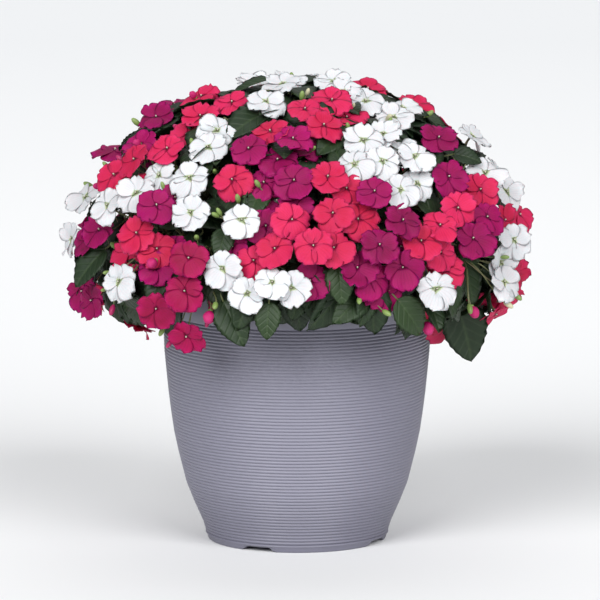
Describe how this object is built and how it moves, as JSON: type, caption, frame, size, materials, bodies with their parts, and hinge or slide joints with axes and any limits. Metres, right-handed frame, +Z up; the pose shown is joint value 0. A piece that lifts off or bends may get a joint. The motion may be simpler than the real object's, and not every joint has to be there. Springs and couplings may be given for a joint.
{
  "type": "busy lizzie in a ribbed pot",
  "caption": "Domed busy lizzie planting in white, coral and magenta, filling and overhanging a round tapered ribbed planter with a flat base.",
  "frame": {"origin": "centre of the pot's flat base, on the ground", "axes": "+Z up along the pot's axis, -Y towards the front seen in the picture, +X to the viewer's right"},
  "size_m": [0.5567, 0.5609, 0.563],
  "materials": {
    "pot": "satin",
    "soil": "matte",
    "leaf": "satin",
    "white": "matte",
    "coral": "matte",
    "magenta": "matte"
  },
  "bodies": {
    "root": {"coral_spray_01": "coral", "coral_spray_02": "coral", "coral_spray_03": "coral", "coral_spray_04": "coral", "coral_spray_05": "coral", "coral_spray_06": "coral", "coral_spray_07": "coral", "coral_spray_08": "coral", "coral_spray_09": "coral", "coral_spray_10": "coral", "coral_spray_11": "coral", "coral_spray_12": "coral", "coral_spray_13": "coral", "coral_spray_14": "coral", "coral_spray_15": "coral", "leafy_stem_01": "leaf", "leafy_stem_02": "leaf", "leafy_stem_03": "leaf", "leafy_stem_04": "leaf", "leafy_stem_05": "leaf", "leafy_stem_06": "leaf", "leafy_stem_07": "leaf", "leafy_stem_08": "leaf", "leafy_stem_09": "leaf", "leafy_stem_10": "leaf", "leafy_stem_11": "leaf", "leafy_stem_12": "leaf", "magenta_spray_01": "magenta", "magenta_spray_02": "magenta", "magenta_spray_03": "magenta", "magenta_spray_04": "magenta", "magenta_spray_05": "magenta", "magenta_spray_06": "magenta", "magenta_spray_07": "magenta", "magenta_spray_08": "magenta", "magenta_spray_09": "magenta", "magenta_spray_10": "magenta", "magenta_spray_11": "magenta", "magenta_spray_12": "magenta", "magenta_spray_13": "magenta", "magenta_spray_14": "magenta", "magenta_spray_15": "magenta", "pot": "pot", "soil": "soil", "white_spray_01": "white", "white_spray_02": "white", "white_spray_03": "white", "white_spray_04": "white", "white_spray_05": "white", "white_spray_06": "white", "white_spray_07": "white", "white_spray_08": "white", "white_spray_09": "white", "white_spray_10": "white", "white_spray_11": "white", "white_spray_12": "white", "white_spray_13": "white", "white_spray_14": "white", "white_spray_15": "white"}
  },
  "joints": []
}
